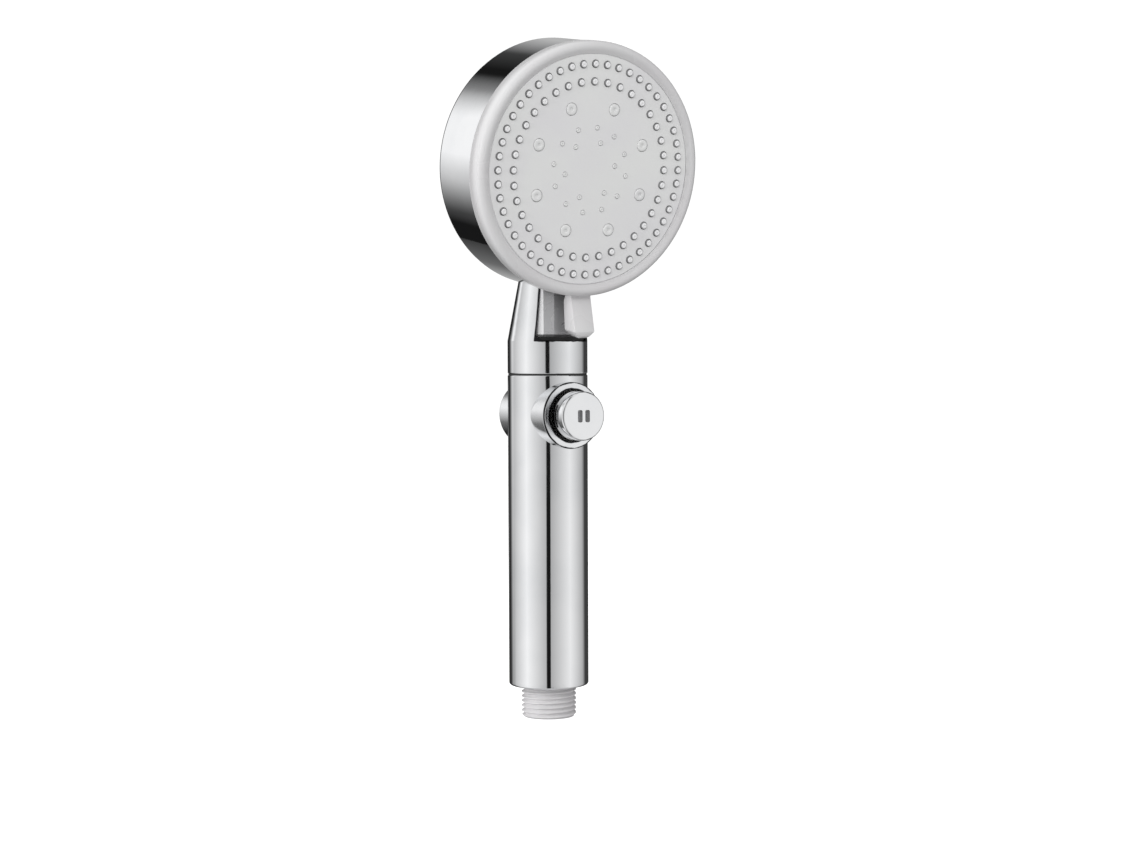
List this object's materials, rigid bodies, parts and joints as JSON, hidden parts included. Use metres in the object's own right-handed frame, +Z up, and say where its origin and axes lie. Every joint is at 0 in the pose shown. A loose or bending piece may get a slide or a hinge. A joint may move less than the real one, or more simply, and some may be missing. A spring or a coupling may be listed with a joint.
{
  "type": "handheld shower head",
  "caption": "Handheld shower head with a straight plated handle, a tilted drum head, a turning spray dial with a lever, and a push-through stop button.",
  "frame": {"origin": "centre of the inlet's end face, at the bottom of the thread", "axes": "+Z up the handle's axis towards the head, -Y the way the spray face looks, +X to the right seen from the front"},
  "size_m": [0.0942, 0.0563, 0.2581],
  "materials": {
    "chrome_plate": "chrome plating on moulded plastic, mirror bright",
    "white_plastic": "smooth gloss white",
    "face_plastic": "satin pale grey",
    "silicone": "soft translucent grey silicone",
    "inner_plastic": "moulded off-white",
    "grey_plastic": "moulded satin grey",
    "black_rubber": "matt black sealing rubber",
    "steel": "stainless steel"
  },
  "bodies": {
    "handle": {"water_tube": "white_plastic", "inlet_strainer": "inner_plastic", "flow_regulator": "inner_plastic", "handle_sleeve": "chrome_plate", "valve_body": "inner_plastic", "front_collar": "chrome_plate", "rear_collar": "chrome_plate", "neck_duct": "inner_plastic", "joint_seal": "black_rubber", "head_shell": "chrome_plate", "window_liner": "grey_plastic", "liner_gasket": "black_rubber", "hub": "inner_plastic", "hub_seal": "black_rubber", "outlet_seal": "black_rubber", "detent_spring": "steel", "detent_ball": "steel", "dial_washer": "steel", "dial_screw": "steel", "duct_screws": "steel"},
    "spray_dial": {"spray_ring": "white_plastic", "face_plate": "face_plastic", "nozzle_mat": "silicone", "wide_nozzles": "silicone", "mist_nozzles": "silicone", "distributor": "inner_plastic", "plate_screws": "steel"},
    "stop_button": {"stop_spool": "inner_plastic", "spool_seals": "black_rubber", "front_button": "chrome_plate", "rear_button": "chrome_plate"}
  },
  "joints": [
    {"name": "dial_turn", "type": "hinge", "parent": "handle", "child": "spray_dial", "pos_m": [0, -0.03154, 0.20697], "axis": [0, -0.9855, -0.1699], "range_deg": [-8.3, 3.7]},
    {"name": "button_slide", "type": "slide", "parent": "handle", "child": "stop_button", "axis": [0, 1, 0], "range_m": [0, 0.0065]}
  ]
}
